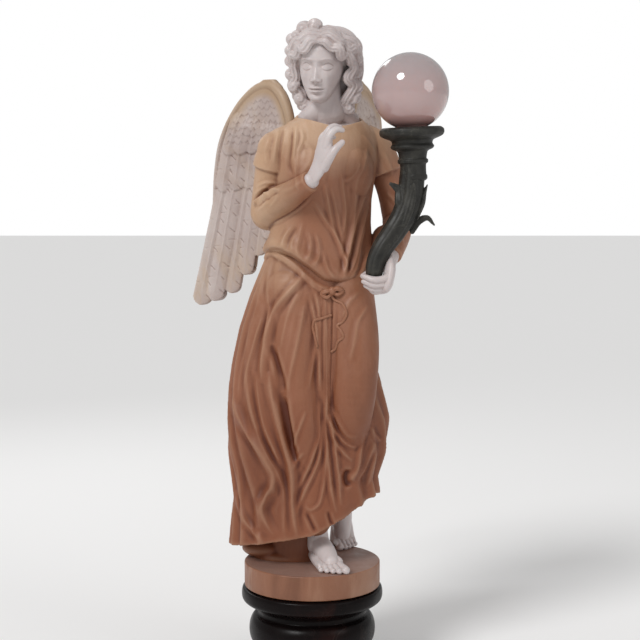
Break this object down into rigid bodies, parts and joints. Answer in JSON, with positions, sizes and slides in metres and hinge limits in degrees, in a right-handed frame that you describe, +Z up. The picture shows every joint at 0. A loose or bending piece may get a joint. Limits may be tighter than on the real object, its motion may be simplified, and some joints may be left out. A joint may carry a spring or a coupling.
{
  "type": "winged lady statue with torch lamp",
  "caption": "Life-size winged lady in coloured marble, robed and barefoot, who raises one hand and holds a torch lamp with a globe, on a round turned pedestal.",
  "frame": {"origin": "centre of the pedestal's underside", "axes": "+Z is up, the lady faces -Y, and +X points to the side of the torch"},
  "size_m": [0.7867, 0.6674, 1.9934],
  "materials": {
    "tan_marble": "honed, veined, tan above and red brown below",
    "white_marble": "honed, pinkish white",
    "cream_marble": "honed, pinkish cream",
    "green_marble": "polished, dark green",
    "opal_glass": "glossy, opal, pinkish",
    "black_marble": "polished, brownish black"
  },
  "bodies": {
    "root": {"gown_and_base": "tan_marble", "head": "white_marble", "right_hand": "white_marble", "left_hand": "white_marble", "right_foot": "white_marble", "left_foot": "white_marble", "right_wing": "cream_marble", "left_wing": "cream_marble", "torch": "green_marble", "globe": "opal_glass", "pedestal": "black_marble"}
  },
  "joints": []
}
